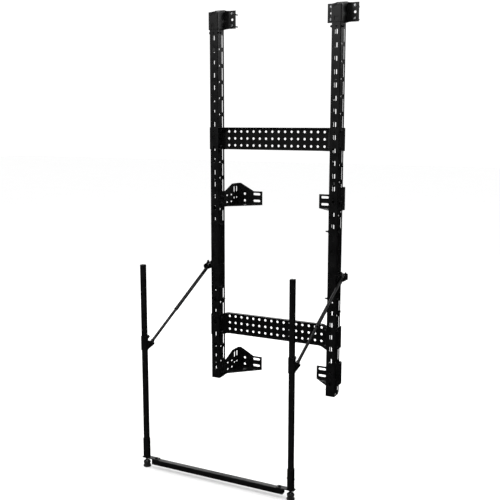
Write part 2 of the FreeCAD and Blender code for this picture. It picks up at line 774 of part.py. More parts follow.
def strut_bracket():
    """Bracket on an upright's outer side, with two ears for the strut's pivot bolt."""
    base_x = outer_x + hanger_gap
    inner_ear = strut_x - ear_inner_half
    outer_ear = strut_x + ear_inner_half
    base = hanger_plate(upright_front_y + 3, hanger_back_y, base_x, base_x + hanger_wall)
    ears = [hanger_plate(hanger_front_y, hanger_back_y, inner_ear - ear_wall, inner_ear),
            hanger_plate(hanger_front_y, hanger_back_y, outer_ear, outer_ear + ear_wall)]
    web = box(base_x, outer_ear + ear_wall, hanger_back_y - hanger_wall, hanger_back_y,
              hanger_bottom_z, hanger_shoulder_z)
    shape = base.fuse(ears + [web]).removeSplitter()
    reach = outer_ear + ear_wall - inner_ear + ear_wall
    start = V(inner_ear - ear_wall - 1, strut_top_y, strut_top_z)
    cutters = [rod(m8_r + pivot_fit, start, X_AXIS, reach + 2)]
    for rise in (-hanger_screw_rise, hanger_screw_rise):
        centre = V(base_x - 1, strut_top_y, strut_top_z + rise)
        cutters.append(rod(m6_hole_r, centre, X_AXIS, hanger_wall + 2))
    return cut_all(shape, cutters)


def pivot_bolt(pivot):
    """Bolt with its head outside, and its washer and nut on the inner ear."""
    half = ear_inner_half + ear_wall
    seat = pivot + X_AXIS * half
    screw = bolt(seat, X_AXIS * -1, 2 * half + m8_nut + 1.5)
    return screw, nut(pivot - X_AXIS * half, X_AXIS * -1)


def eye(pivot, direction):
    """A turned eye round a pivot, with a plug that goes into a tube."""
    head = rod(eye_r, pivot - X_AXIS * eye_half, X_AXIS, 2 * eye_half)
    neck = rod(eye_half, pivot, direction, eye_neck - 2)
    return head.fuse(neck), rod(m8_r + pivot_fit, pivot - X_AXIS * 15, X_AXIS, 30)


def make_struts():
    tube_start = strut_top + strut_dir * eye_neck
    tube_length = strut_tube_end - eye_neck
    bore = strut_rod_r + sliding_fit
    tube = rod(strut_tube_r, tube_start, strut_dir, tube_length)
    tube = tube.cut(rod(bore, tube_start, strut_dir, tube_length))
    head, hole = eye(strut_top, strut_dir)
    plug = rod(bore - 0.05, strut_top, strut_dir, eye_neck + plug_length)
    head = head.fuse(plug).removeSplitter().cut(hole)
    rod_start = strut_top + strut_dir * (strut_tube_end - strut_overlap)
    rod_length = strut_length - strut_tube_end + strut_overlap - eye_neck
    inner = rod(strut_rod_r, rod_start, strut_dir, rod_length)
    inner = inner.cut(rod(strut_rod_bore_r, rod_start, strut_dir, rod_length))
    back = strut_dir * -1
    foot, foot_hole = eye(strut_foot, back)
    foot_plug = rod(strut_rod_bore_r - 0.05, strut_foot, back, eye_neck + plug_length)
    foot = foot.fuse(foot_plug).removeSplitter().cut(foot_hole)
    bracket = strut_bracket()
    screw, pivot_nut = pivot_bolt(strut_top)
    screws = []
    rings = []
    for rise in (-hanger_screw_rise, hanger_screw_rise):
        face = V(outer_x + hanger_gap + hanger_wall, strut_top_y, strut_top_z + rise)
        inside_face = V(outer_x - upright_wall, strut_top_y, strut_top_z + rise)
        grip = hanger_gap + hanger_wall + upright_wall + 7
        screws.append(bolt(face, X_AXIS * -1, grip, m6_r, m6_across, m6_head))
        rings.append(nut(inside_face, X_AXIS * -1, m6_r, m6_across, 5))
    for side, place in (("right", lambda s: s), ("left", mirrored)):
        keep("strut_tube_" + side, place(tube))
        keep("strut_head_" + side, place(head))
        keep("strut_rod_" + side, place(inner))
        keep("strut_eye_" + side, place(foot))
        keep("strut_bracket_" + side, place(bracket))
        keep("strut_pivot_bolt_" + side, place(screw), place(pivot_nut))
    keep("strut_bracket_screws", *screws, *[mirrored(s) for s in screws])
    keep("strut_bracket_nuts", *rings, *[mirrored(r) for r in rings])


# ---------------------------------------------------------------- collars
def collar():
    """A sliding sleeve with a clamp boss and two ears behind it for the strut's foot."""
    wall = (collar_side - leg_side) / 2 - collar_fit
    shape = square_tube(collar_side, wall, leg_corner_r + wall, collar_bottom_z, collar_top_z, leg_x, leg_y)
    back = leg_y + collar_side / 2
    outline = [(back - 1, strut_foot_z + 26), (strut_foot_y - 6, strut_foot_z + 13),
               (collar_ear_back_y, strut_foot_z + 4), (collar_ear_back_y, strut_foot_z - 8),
               (strut_foot_y - 4, strut_foot_z - 14), (back - 1, strut_foot_z - 22)]
    ears = []
    for side in (-1, 1):
        x0 = strut_x + side * ear_inner_half
        ears.append(prism_x(outline, x0, x0 + side * ear_wall))
    root = [(back - 1, strut_foot_z + 26), (back + 6, strut_foot_z + 24),
            (back + 6, strut_foot_z - 20), (back - 1, strut_foot_z - 22)]
    half = ear_inner_half + ear_wall
    boss = rod(knob_boss_r, V(leg_x, back - 1, knob_z), Y_AXIS, knob_boss_length + 1)
    shape = shape.fuse(ears + [prism_x(root, strut_x - half, strut_x + half), boss]).removeSplitter()
    start = strut_foot - X_AXIS * (half + 1)
    cutters = [rod(m8_r + pivot_fit, start, X_AXIS, 2 * half + 2)]
    cutters.append(rod(m6_r + pivot_fit, V(leg_x, leg_y, knob_z), Y_AXIS, collar_side))
    return cut_all(shape, cutters)


def clamp_knob():
    """A clamp screw with a six-lobed knob, turned by hand against the leg."""
    back = leg_y + collar_side / 2
    tip_y = leg_y + leg_side / 2 + collar_fit
    knob_y = back + knob_boss_length + 2
    screw = rod(m6_r, V(leg_x, tip_y, knob_z), Y_AXIS, knob_y - tip_y + 6)
    body = rod(8.0, V(leg_x, knob_y, knob_z), Y_AXIS, 11)
    lobes = []
    for k in range(6):
        angle = math.radians(60 * k)
        centre = V(leg_x + 8.0 * math.cos(angle), knob_y, knob_z + 8.0 * math.sin(angle))
        lobes.append(rod(2.6, centre, Y_AXIS, 11))
    return body.fuse(lobes + [screw]).removeSplitter()


def make_collars():
    sleeve = collar()
    knob = clamp_knob()
    screw, pivot_nut = pivot_bolt(strut_foot)
    for side, place in (("right", lambda s: s), ("left", mirrored)):
        keep("collar_" + side, place(sleeve))
        keep("collar_pivot_bolt_" + side, place(screw), place(pivot_nut))
        keep("clamp_knob_" + side, place(knob))


# ---------------------------------------------------------------- stand
def base_shoe():
    """Sleeve and foot plate that hold a leg, and carry one end of the base bar."""
    wall = (collar_side - leg_side) / 2 - sleeve_fit
    sleeve = square_tube(collar_side, wall, leg_corner_r + wall, sleeve_bottom_z, sleeve_top_z, leg_x, leg_y)
    half = collar_side / 2
    plate = box(base_plate_inner_x, base_plate_outer_x, leg_y - half, leg_y + half,
                base_plate_bottom_z, sleeve_bottom_z)
    upright_edges = [e for e in plate.Edges if abs(e.tangentAt(e.FirstParameter).z) > 0.9]
    plate = plate.makeFillet(4, upright_edges)
    shape = sleeve.fuse(plate).removeSplitter()
    cutters = [rod(stud_r + thread_fit, V(leg_x, leg_y, base_plate_bottom_z - 1), Z_AXIS, 8),
               rod(m8_hole_r, V(bar_bolt_x, leg_y, base_plate_bottom_z - 1), Z_AXIS, 8),
               rod(m6_hole_r, V(leg_x - half - 1, leg_y, leg_bolt_z), X_AXIS, collar_side + 2)]
    return cut_all(shape, cutters)


def base_bar():
    outer = rounded_rectangle(bar_side, bar_side, bar_corner_r)
    inner = rounded_rectangle(bar_side - 2 * bar_wall, bar_side - 2 * bar_wall, bar_corner_r - bar_wall)
    tube = outer.extrude(V(0, 0, 2 * bar_half_length)).cut(inner.extrude(V(0, 0, 2 * bar_half_length)))
    centre_z = bar_top_z - bar_side / 2
    tube.Placement = FreeCAD.Placement(V(-bar_half_length, leg_y, centre_z), FreeCAD.Rotation(Y_AXIS, 90))
    holes = [rod(m8_hole_r, V(x, leg_y, bar_top_z - bar_wall - 1), Z_AXIS, bar_wall + 2)
             for x in (-bar_bolt_x, bar_bolt_x)]
    return cut_all(tube, holes)


def make_stand():
    leg = square_tube(leg_side, leg_wall, leg_corner_r, leg_bottom_z, leg_top_z, leg_x, leg_y)
    leg = leg.cut(rod(m6_hole_r, V(leg_x - leg_side, leg_y, leg_bolt_z), X_AXIS, 2 * leg_side))
    shoe = base_shoe()
    centre_z = bar_top_z - bar_side / 2
    cap_face = rounded_rectangle(bar_side, bar_side, bar_corner_r)
    cap = cap_face.extrude(V(0, 0, end_cap_thickness))
    cap = cap.fuse(rounded_rectangle(bar_side - 2 * bar_wall - 0.2, bar_side - 2 * bar_wall - 0.2,
                                     bar_corner_r - bar_wall).extrude(V(0, 0, -10))).removeSplitter()
    cap.Placement = FreeCAD.Placement(V(bar_half_length, leg_y, centre_z), FreeCAD.Rotation(Y_AXIS, 90))
    for side, place in (("right", lambda s: s), ("left", mirrored)):
        keep("leg_" + side, place(leg))
        keep("base_shoe_" + side, place(shoe))
        keep("bar_end_cap_" + side, place(cap))
    keep("base_bar", base_bar())
    seat = V(bar_bolt_x, leg_y, sleeve_bottom_z)
    bar_bolt = bolt(seat, Z_AXIS * -1, base_plate_thickness + bar_wall + m8_nut + 2)
    bar_nut = nut(V(bar_bolt_x, leg_y, bar_top_z - bar_wall), Z_AXIS * -1)
    keep("bar_bolts", bar_bolt, mirrored(bar_bolt), bar_nut, mirrored(bar_nut))
    half = collar_side / 2
    start = V(leg_x + half, leg_y, leg_bolt_z)
    leg_bolt = bolt(start, X_AXIS * -1, collar_side + 6, m6_r, m6_across, m6_head)
    leg_nut = nut(V(leg_x - half, leg_y, leg_bolt_z), X_AXIS * -1, m6_r, m6_across, 5)
    keep("leg_bolts", leg_bolt, mirrored(leg_bolt), leg_nut, mirrored(leg_nut))
    lock = nut(V(leg_x, leg_y, base_plate_bottom_z), Z_AXIS * -1, stud_r, m10_across, m10_nut)
    keep("foot_lock_nuts", lock, mirrored(lock))


# ---------------------------------------------------------------- levelling feet
def foot_pad():
    """A cupped foot turned about the stud's axis."""
    rim = pad_height - 4
    points = [V(0, 0, 0), V(pad_base_r - 1.5, 0, 0), V(pad_base_r, 0, 1.5), V(pad_base_r, 0, 7),
              V(pad_waist_r, 0, 13), V(pad_waist_r, 0, 18), V(pad_rim_r, 0, rim - 4),
              V(pad_rim_r, 0, rim + 2), V(pad_rim_r - 2, 0, pad_height), V(pad_cup_r + 1, 0, pad_height),
              V(pad_cup_r, 0, pad_height - 2), V(pad_cup_r, 0, pad_height - pad_cup_depth),
              V(0, 0, pad_height - pad_cup_depth), V(0, 0, 0)]
    shape = Part.Face(Part.makePolygon(points)).revolve(V(0, 0, 0), Z_AXIS, 360)
    shape = shape.cut(rod(stud_r + thread_fit, V(0, 0, pad_height - pad_cup_depth - 6), Z_AXIS, 7))
    shape.translate(V(leg_x, leg_y, floor_z))
    return shape


def make_feet():
    pad = foot_pad()
    foot_z = floor_z + pad_height - pad_cup_depth - 6
    stud = rod(stud_r, V(leg_x, leg_y, foot_z), Z_AXIS, stud_top_z - foot_z)
    collar_ring = hexagon(m10_across, V(leg_x, leg_y, foot_z + 6), Z_AXIS, 6)
    stud = stud.fuse(collar_ring).removeSplitter()
    for side, place in (("right", lambda s: s), ("left", mirrored)):
        keep("foot_pad_" + side, place(pad))
        keep("foot_stud_" + side, place(stud))


make_uprights()
make_splices()
make_panels()
make_top_brackets()
make_wall_arms()
make_struts()
make_collars()
make_stand()
make_feet()

os.makedirs("parts", exist_ok=True)
for name, shape in parts.items():
    shape.exportStep(os.path.join("parts", name + ".step"))
print(len(parts), "parts")
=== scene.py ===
import json
import math

import bmesh
import bpy
from mathutils import Matrix, Vector


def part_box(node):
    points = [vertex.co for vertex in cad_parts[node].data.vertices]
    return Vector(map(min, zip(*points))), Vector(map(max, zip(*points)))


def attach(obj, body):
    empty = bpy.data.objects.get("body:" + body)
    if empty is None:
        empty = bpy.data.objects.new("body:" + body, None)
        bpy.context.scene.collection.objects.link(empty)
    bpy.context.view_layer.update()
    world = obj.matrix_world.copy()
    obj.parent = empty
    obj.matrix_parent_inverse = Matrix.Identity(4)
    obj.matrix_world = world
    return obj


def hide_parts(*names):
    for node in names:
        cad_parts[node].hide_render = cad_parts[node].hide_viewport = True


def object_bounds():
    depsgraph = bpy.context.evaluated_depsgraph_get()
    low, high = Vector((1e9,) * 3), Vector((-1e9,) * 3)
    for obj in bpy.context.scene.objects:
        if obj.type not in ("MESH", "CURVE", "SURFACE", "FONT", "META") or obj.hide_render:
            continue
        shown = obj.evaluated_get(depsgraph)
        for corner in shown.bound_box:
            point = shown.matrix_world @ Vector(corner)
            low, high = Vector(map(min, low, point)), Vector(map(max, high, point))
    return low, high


# Wall-braced perforated rack frame: finishes, small fabricated detail, and a plain studio.
# Metres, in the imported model's own frame: X right, Y towards the wall, Z up.

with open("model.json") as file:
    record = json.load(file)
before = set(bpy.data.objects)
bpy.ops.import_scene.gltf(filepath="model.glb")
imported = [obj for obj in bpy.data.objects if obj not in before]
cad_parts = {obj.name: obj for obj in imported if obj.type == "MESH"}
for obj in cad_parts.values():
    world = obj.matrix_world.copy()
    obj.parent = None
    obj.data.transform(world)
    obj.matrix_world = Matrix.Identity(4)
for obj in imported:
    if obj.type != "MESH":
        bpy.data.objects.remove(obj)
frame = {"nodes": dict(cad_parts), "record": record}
cad_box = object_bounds()
nodes = frame["nodes"]

SIDES = (("left", -1), ("right", 1))       # a side's name and the sign of its X
X_AXIS, Y_AXIS, Z_AXIS = Vector((1, 0, 0)), Vector((0, 1, 0)), Vector((0, 0, 1))

# ---- camera ----
CAMERA_PLACE = (1.9177, -4.3191, 0.4574)
CAMERA_TURN = (80.757, -0.045, 26.893)     # degrees, about X, Y and Z
CAMERA_LENS = 56.58
SENSOR_WIDTH = 36.0
CAMERA_REACH = 100.0

# ---- studio ----
FLOOR_REACH = 30.0
FLOOR_DARK = (0.93, 0.93, 0.93)
FLOOR_LIGHT = (0.95, 0.95, 0.95)
SKY_STRENGTH = 1.1
SOFT_BOXES = (                             # name, place, target, size, watts
    ("front_box", (-1.2, -3.9, 2.5), (0, -0.3, 0.9), (2.0, 1.4), 34),
    ("side_box", (2.9, 3.2, 2.3), (0.2, -0.3, 0.8), (2.0, 1.4), 42),
    ("top_box", (0.2, -0.8, 3.6), (0, -0.5, 0), (2.6, 2.0), 46),
    ("back_box", (-2.6, 4.0, 2.2), (0, -0.2, 0.3), (2.6, 2.0), 70),
    ("left_box", (-4.4, -0.6, 1.6), (0, -0.4, 0.1), (2.4, 2.0), 45),
)

# ---- colours ----
STEEL = (0.16, 0.16, 0.165)                # bare metal where the coat has worn off
COAT_BLUE = 0.0002                         # a coat's blue, above its red and green
COAT_GRAIN = 900.0
PAINTS = {                                 # slot: shade, roughness, wear, orange peel
    "upright_paint": (0.0030, 0.36, 0.50, 0.30),
    "splice_paint": (0.0036, 0.42, 0.40, 0.30),
    "panel_paint": (0.0026, 0.40, 0.45, 0.30),
    "bracket_paint": (0.0032, 0.42, 0.50, 0.30),
    "arm_paint": (0.0032, 0.44, 0.50, 0.30),
    "strut_bracket_paint": (0.0032, 0.42, 0.55, 0.30),
    "strut_tube_paint": (0.0030, 0.34, 0.40, 0.20),
    "strut_rod_paint": (0.0045, 0.28, 0.30, 0.12),
    "strut_end_paint": (0.0040, 0.38, 0.60, 0.30),
    "collar_paint": (0.0030, 0.40, 0.60, 0.30),
    "leg_paint": (0.0034, 0.37, 0.50, 0.30),
    "shoe_paint": (0.0030, 0.42, 0.50, 0.30),
    "bar_paint": (0.0032, 0.40, 0.50, 0.30),
}
KNOB_BLACK = (0.0050, 0.0050, 0.0051)
CAP_BLACK = (0.0060, 0.0060, 0.0061)
RUBBER_BLACK = (0.0080, 0.0079, 0.0077)
ZINC_DARK, ZINC_LIGHT = (0.42, 0.43, 0.44), (0.66, 0.67, 0.68)
OXIDE_DARK, OXIDE_LIGHT = (0.022, 0.022, 0.024), (0.045, 0.045, 0.048)

# ---- bolts ----
BOLTS = {                                  # node: body, length of thread that shows past the nut
    "wall_bolts": ("frame", 0.060),
    "panel_bolts": ("frame", 0.0029),
    "arm_bolts": ("frame", 0.0039),
    "splice_bolts": ("frame", 0.0039),
    "top_bracket_bolts": ("frame", 0.0029),
    "strut_bracket_screws": ("frame", 0.0),
    "bar_bolts": ("stand", 0.0),
    "leg_bolts": ("stand", 0.0),
}
THREAD_PITCH = {4.0: 1.25, 3.0: 1.0, 5.0: 1.5}   # mm, by the shank's radius in mm
THREAD_HEIGHT = 0.00032
THREAD_SINK = 0.00008                      # how far a ridge's foot lies inside the shank
THREAD_SEGMENTS = 20                       # to a turn
THREAD_LEAD = 0.45                         # pitches left plain at either end
THREAD_FLANK = 0.42                        # half a ridge's foot, in pitches
THREAD_FADE = (0.6, 8)                     # share of a segment at the tip, segments to full height
BOLT_SLENDER = 1.15                        # anything less long for its width is a nut or a washer
BOLT_END_DEPTH = 0.0012
HEAD_RING = 0.0004
HEAD_RING_PLACE = 0.62                     # of the head's radius
HEAD_RING_SEGMENTS = 28
MERGE_DIGITS = 6                           # decimals by which two vertices are the same point

# ---- welds ----
WELD_RADIUS = 0.0017
WELD_RIPPLE, WELD_RIPPLE_STEP = 0.12, 2.1  # share of the radius, radians to a step
WELD_SWELL, WELD_SWELL_STEP = 0.04, 0.37
WELD_SWAY = 0.0002
WELD_STEP = 0.0011
WELD_LEAST_STEPS = 6
WELD_SINK = 0.0004
WELD_ARC = 6                               # segments across the bead
WELD_TAPER = (0.7, 3)
WELD_SMOOTH = 70.0

# ---- wall arms ----
ARM_PLATE = 0.003
GUSSET_FRONT_Y, GUSSET_BACK_Y = -0.156, -0.018
GUSSET_BEND = 0.018                        # the bead starts this far from the side plate
GUSSET_STOP = 0.006                        # and ends this far short of the pad's end

# ---- struts ----
STRUT_TUBE_END = 0.440                     # from the head's pivot, along the strut
MOUTH_SEGMENTS = 48
MOUTH_LIP = ((0.0084, 0.0012), (0.0092, 0.0019), (0.0104, 0.0010), (0.0110, -0.0012),
             (0.0109, -0.0040), (0.0098, -0.0062), (0.0094, -0.0040), (0.0085, -0.0002))
MOUTH_BEAD = ((0.0097, -0.0013), (0.0103, -0.0009), (0.01055, 0.0), (0.0103, 0.0009),
              (0.0097, 0.0013))
MOUTH_BEAD_PLACES = (0.016, 0.0205)        # back from the mouth

# ---- collars and clamp knobs ----
COLLAR_WELD_X = 0.0136                     # either side of the leg's middle
COLLAR_WELD_BELOW, COLLAR_WELD_ABOVE = 0.0185, 0.0225      # the collar's pivot
KNOB_OUTER_RING = ((0.0058, -0.0004), (0.0061, 0.0005), (0.0068, 0.0005), (0.0071, -0.0004))
KNOB_INNER_RING = ((0.0030, -0.0004), (0.0033, 0.0004), (0.0038, 0.0004), (0.0041, -0.0004))

# ---- stand ----
SQUARE_CORNER_SHARE = 0.6                  # of a square's reach, at most
LEG_PLUG = ((0.0002, -0.0006), (0.0, 0.0004), (0.0006, 0.0014), (0.0030, 0.0022),
            (0.0070, 0.0025), (0.0078, 0.0019), (0.0100, 0.0019))     # inset, height
LEG_PLUG_CORNER = 0.0028
SHOE_PLATE = 0.004
SHOE_SLEEVE_HALF = 0.0155
SHOE_WELD_HALF = 0.0125
CAP_RIM = ((0.0128, -0.0003), (0.0124, 0.0006), (0.0112, 0.0006), (0.0108, -0.0003))
CAP_RIM_CORNER = 0.003
CAP_BOSS = ((0.0062, -0.0003), (0.0058, 0.0005), (0.0048, 0.0005))    # reach, height
CAP_BOSS_CORNER = 0.002

# ---- levelling feet ----
PAD_WAIST_RIB = ((0.0163, -0.0006), (0.0170, -0.0004), (0.0172, 0.0), (0.0170, 0.0004),
                 (0.0163, 0.0006))
PAD_WAIST_HEIGHTS = (0.0142, 0.0158, 0.0174)
PAD_WAIST_SEGMENTS = 56
PAD_RIBS = 20
PAD_RIB_HALF = 0.0007
PAD_RIB_FOOT = 1.6                         # times the width of its crest
PAD_RIB_ROOT = 0.0182
PAD_RIB_CREST = ((0.0215, 0.0187), (0.0222, 0.0192), (0.0298, 0.0192), (0.0305, 0.0187))
STUD_HEX_LOW, STUD_HEX_HIGH = 0.006, 0.012       # above the stud's lower end
STUD_CHAMFER, STUD_CHAMFER_RISE = 0.0007, 0.0005
STUD_MAJOR, STUD_MINOR, STUD_PITCH = 0.00498, 0.00440, 0.0015
STUD_TIP_LENGTH, STUD_TIP_R, STUD_FOOT_R = 0.0008, 0.0039, 0.0049
STUD_SEGMENTS = 28
STUD_ROWS_PER_TURN = 4
STUD_SMOOTH = 30.0


# ---------------------------------------------------------------- node trees
class Tree:
    """A material's nodes, with short ways to add and join them."""

    def __init__(self, name):
        self.material = bpy.data.materials.new(name)
        self.material.use_nodes = True
        self.nodes = self.material.node_tree.nodes
        self.links = self.material.node_tree.links
        self.nodes.clear()
        self.shader = self.add("ShaderNodeBsdfPrincipled")
        out = self.add("ShaderNodeOutputMaterial")
        self.join(self.shader.outputs[0], out.inputs["Surface"])
        self.coords = self.add("ShaderNodeTexCoord").outputs["Object"]

    def add(self, kind, **settings):
        node = self.nodes.new(kind)
        for key, value in settings.items():
            setattr(node, key, value)
        return node

    def join(self, source, target):
        self.links.new(source, target)

    def feed(self, value, target):
        """Joins a socket to target, or sets target to a number or a colour."""
        if isinstance(value, (int, float)):
            target.default_value = value
        elif isinstance(value, tuple):
            target.default_value = (*value, 1.0)
        else:
            self.join(value, target)

    def stretched(self, scale):
        node = self.add("ShaderNodeMapping")
        node.inputs["Scale"].default_value = scale
        self.join(self.coords, node.inputs["Vector"])
        return node.outputs["Vector"]

    def noise(self, scale, detail=2.0, roughness=0.5, vector=None):
        node = self.add("ShaderNodeTexNoise")
        node.inputs["Scale"].default_value = scale
        node.inputs["Detail"].default_value = detail
        node.inputs["Roughness"].default_value = roughness
        self.join(vector or self.coords, node.inputs["Vector"])
        return node.outputs["Fac"]

    def remap(self, value, low, high, to_low=0.0, to_high=1.0):
        node = self.add("ShaderNodeMapRange")
        node.interpolation_type = "SMOOTHSTEP"
        node.inputs["From Min"].default_value = low
        node.inputs["From Max"].default_value = high
        node.inputs["To Min"].default_value = to_low
        node.inputs["To Max"].default_value = to_high
        self.join(value, node.inputs["Value"])
        return node.outputs["Result"]

    def math(self, operation, a, b):
        node = self.add("ShaderNodeMath", operation=operation)
        self.feed(a, node.inputs[0])
        self.feed(b, node.inputs[1])
        return node.outputs[0]

    def mix(self, factor, a, b):
        """A colour between a and b; a mix node's colour sockets are numbers 6, 7 and 2."""
        node = self.add("ShaderNodeMix", data_type="RGBA")
        self.join(factor, node.inputs[0])
        self.feed(a, node.inputs[6])
        self.feed(b, node.inputs[7])
        return node.outputs[2]

    def bump(self, height, strength, distance, under):
        node = self.add("ShaderNodeBump")
        node.inputs["Strength"].default_value = strength
        node.inputs["Distance"].default_value = distance
        self.join(height, node.inputs["Height"])
        self.join(under, node.inputs["Normal"])
        return node.outputs["Normal"]

    def set(self, **sockets):
        """Takes a socket's name with underscores for its spaces."""
        for key, value in sockets.items():
            self.shader.inputs[key.replace("_", " ")].default_value = value

    def drive(self, **sockets):
        for key, source in sockets.items():
            self.join(source, self.shader.inputs[key.replace("_", " ")])

    def edges(self, radius):
        """1 on a sharp edge and 0 on a flat, with the rounded normal."""
        bevel = self.add("ShaderNodeBevel", samples=3)
        bevel.inputs["Radius"].default_value = radius
        flat = self.add("ShaderNodeNewGeometry").outputs["Normal"]
        dot = self.add("ShaderNodeVectorMath", operation="DOT_PRODUCT")
        self.join(bevel.outputs[0], dot.inputs[0])
        self.join(flat, dot.inputs[1])
        return self.remap(dot.outputs["Value"], 0.998, 0.90), bevel.outputs[0]


def times(colour, factor):
    return tuple(min(1.0, c * factor) for c in colour)


def powder_coat(name, colour, rough, wear, peel):
    """Satin powder coat: orange peel, faint mottling, handling scuffs and thin worn edges."""
    t = Tree(name)
    mottle = t.noise(22.0, 5.0, 0.6)
    scuff = t.noise(1.0, 6.0, 0.7, t.stretched((90.0, 90.0, 9.0)))
    scuff = t.remap(scuff, 0.62, 0.74)
    edge, soft_normal = t.edges(0.0009)
    chips = t.remap(t.noise(240.0, 4.0, 0.65), 0.48, 0.62)
    bare = t.math("MULTIPLY", t.math("MULTIPLY", edge, chips), wear)
    base = t.mix(t.remap(mottle, 0.3, 0.7), times(colour, 0.72), times(colour, 1.25))
    base = t.mix(t.math("MULTIPLY", scuff, 0.35), base, times(colour, 2.2))
    base = t.mix(bare, base, STEEL)
    satin = t.remap(mottle, 0.25, 0.75, rough - 0.05, rough + 0.06)
    satin = t.math("ADD", satin, t.math("MULTIPLY", scuff, 0.12))
    coarse = t.math("MULTIPLY", t.noise(COAT_GRAIN * 0.3, 2.0, 0.5), 0.6)
    height = t.math("ADD", t.noise(COAT_GRAIN, 2.0, 0.45), coarse)
    t.drive(Base_Color=base, Roughness=satin,
            Normal=t.bump(height, peel, 0.00012, soft_normal))
    t.set(Specular_IOR_Level=0.5, Coat_Weight=0.08, Coat_Roughness=0.28)
    return t.material


def machined(name, dark, light, rough, metallic=1.0):
    """Turned or rolled steel: fine tool lay, cloudy plating, and edges painted lighter as a painted
    highlight.
    """
    t = Tree(name)
    cloud = t.noise(120.0, 4.0, 0.6)
    lines = t.noise(1.0, 3.0, 0.6, t.stretched((900.0, 900.0, 60.0)))
    edge, soft_normal = t.edges(0.0004)
    base = t.mix(t.remap(cloud, 0.3, 0.7), dark, light)
    # Painted highlight: every bevelled edge is mixed halfway towards a paler steel, as if catching
    # light.
    base = t.mix(t.math("MULTIPLY", edge, 0.5), base, times(light, 1.5))
    satin = t.remap(t.math("ADD", cloud, lines), 0.7, 1.3, rough - 0.08, rough + 0.1)
    t.drive(Base_Color=base, Roughness=satin,
            Normal=t.bump(lines, 0.25, 0.00006, soft_normal))
    t.set(Metallic=metallic)
    return t.material


def moulded(name, colour, rough, grain=420.0, peel=0.4, sheen=0.0):
    """Moulded plastic or rubber: spark texture, faint flow mottling, and edges painted lighter as a
    painted highlight.
    """
    t = Tree(name)
    flow = t.noise(60.0, 4.0, 0.55, t.stretched((1.0, 1.0, 2.4)))
    cells = t.add("ShaderNodeTexVoronoi")
    cells.inputs["Scale"].default_value = grain * 2
    t.join(t.coords, cells.inputs["Vector"])
    edge, soft_normal = t.edges(0.0007)
    base = t.mix(t.remap(flow, 0.3, 0.7), times(colour, 0.7), times(colour, 1.3))
    # Painted highlight: every bevelled edge is lightened towards a paler copy of the colour, as if
    # catching light.
    base = t.mix(t.math("MULTIPLY", edge, 0.4), base, times(colour, 2.6))
    satin = t.remap(flow, 0.25, 0.75, rough - 0.07, rough + 0.07)
    height = t.math("ADD", cells.outputs["Distance"], t.noise(grain, 3.0, 0.5))
    t.drive(Base_Color=base, Roughness=satin,
            Normal=t.bump(height, peel, 0.00015, soft_normal))
    t.set(Sheen_Weight=sheen, Specular_IOR_Level=0.45)
    return t.material


finishes = {
    slot: powder_coat(slot, (shade, shade, shade + COAT_BLUE), rough, wear, peel)
    for slot, (shade, rough, wear, peel) in PAINTS.items()
}
finishes["knob_plastic"] = moulded("knob_plastic", KNOB_BLACK, 0.48)
finishes["cap_plastic"] = moulded("cap_plastic", CAP_BLACK, 0.52)
finishes["foot_rubber"] = moulded("foot_rubber", RUBBER_BLACK, 0.66, grain=260.0, peel=0.55,
                                  sheen=0.08)
finishes["zinc"] = machined("zinc", ZINC_DARK, ZINC_LIGHT, 0.30)
finishes["bolt_black"] = machined("bolt_black", OXIDE_DARK, OXIDE_LIGHT, 0.38, metallic=0.85)

for row in frame["record"]["subparts"]:
    materials = nodes[row["node"]].data.materials
    materials.clear()
    materials.append(finishes[row["material_slot"]])


# ---------------------------------------------------------------- mesh helpers
def piece(name, build, slot, body, smooth=40.0):
    """A new mesh object made by build(bm), finished like slot and riding on body."""
    bm = bmesh.new()
    build(bm)
    bmesh.ops.recalc_face_normals(bm, faces=bm.faces)
    mesh = bpy.data.meshes.new(name)
    bm.to_mesh(mesh)
    bm.free()
    mesh.polygons.foreach_set("use_smooth", [True] * len(mesh.polygons))
    mesh.set_sharp_from_angle(angle=math.radians(smooth))
    mesh.materials.append(finishes[slot])
    obj = bpy.data.objects.new(name, mesh)
    bpy.context.scene.collection.objects.link(obj)
    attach(obj, body)
    return obj


def basis(axis):
    """Two unit vectors square to axis."""
    helper = Z_AXIS if abs(axis.z) < 0.9 else X_AXIS
    u = axis.cross(helper).normalized()
    return u, axis.cross(u).normalized()


def spoke(u, v, k, count):
    """Unit vector number k of the count that go once round from u to v."""
    angle = 2 * math.pi * k / count
    return u * math.cos(angle) + v * math.sin(angle)


def level_ring(middle, height, reaches):
    """A level ring round middle, with one point for each radius in reaches."""
    ring = []
    for k, reach in enumerate(reaches):
        angle = 2 * math.pi * k / len(reaches)
        ring.append(Vector((middle.x + reach * math.cos(angle),
                            middle.y + reach * math.sin(angle), height)))
    return ring


def rounded_square(middle, height, reach, corner, steps=6):
    """A level ring of points round a square with rounded corners."""
    points = []
    corner = min(corner, reach * SQUARE_CORNER_SHARE)
    for quarter in range(4):
        x = middle.x + (reach - corner) * (1 if quarter in (0, 3) else -1)
        y = middle.y + (reach - corner) * (1 if quarter in (0, 1) else -1)
        for k in range(steps + 1):
            angle = math.pi / 2 * (quarter + k / steps)
            points.append(Vector((x + corner * math.cos(angle), y + corner * math.sin(angle),
                                  height)))
    return points


def fade(k, last, taper):
    """Rises from near 0 to 1 at the start of 0 to last, and falls again at its end."""
    start, span = taper
    return min(1.0, (k + start) / span, (last - k + start) / span)


def skin(bm, rings, caps=True):
    """Joins rings with equal numbers of points into a skin, and closes its two ends."""
    verts = [[bm.verts.new(p) for p in ring] for ring in rings]
    count = len(rings[0])
    for a, b in zip(verts, verts[1:]):
        for k in range(count):
            n = (k + 1) % count
            bm.faces.new((a[k], a[n], b[n], b[k]))
    if caps:
        bm.faces.new(list(reversed(verts[0])))
        bm.faces.new(verts[-1])


